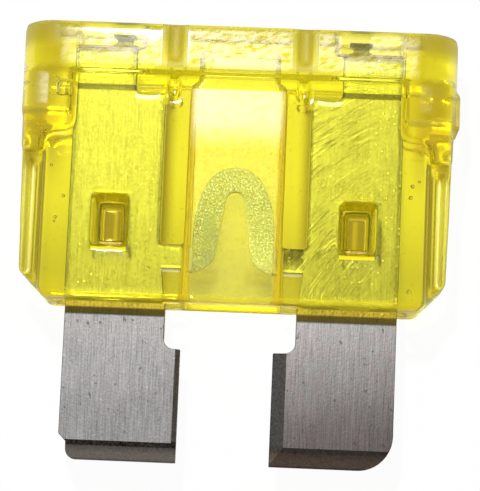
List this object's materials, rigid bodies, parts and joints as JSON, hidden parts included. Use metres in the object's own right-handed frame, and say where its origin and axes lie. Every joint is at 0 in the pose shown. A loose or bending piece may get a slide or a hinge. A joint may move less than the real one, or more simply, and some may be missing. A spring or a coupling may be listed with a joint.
{
  "type": "blade fuse",
  "caption": "Regular-size automotive blade fuse with a transparent yellow housing, two bare zinc blades and a visible fuse link.",
  "frame": {"origin": "middle of the part's outline, on the plane that the back of the head lies on", "axes": "+X across the width, +Y along the blades from their tips to the head, +Z through the thickness, from the back of the head to its front"},
  "size_m": [0.0193, 0.019, 0.0051],
  "materials": {
    "housing": "transparent yellow, clear",
    "element": "bare rolled zinc, fine grain along the blades"
  },
  "bodies": {
    "root": {"housing": "housing", "fuse_element": "element"}
  },
  "joints": []
}
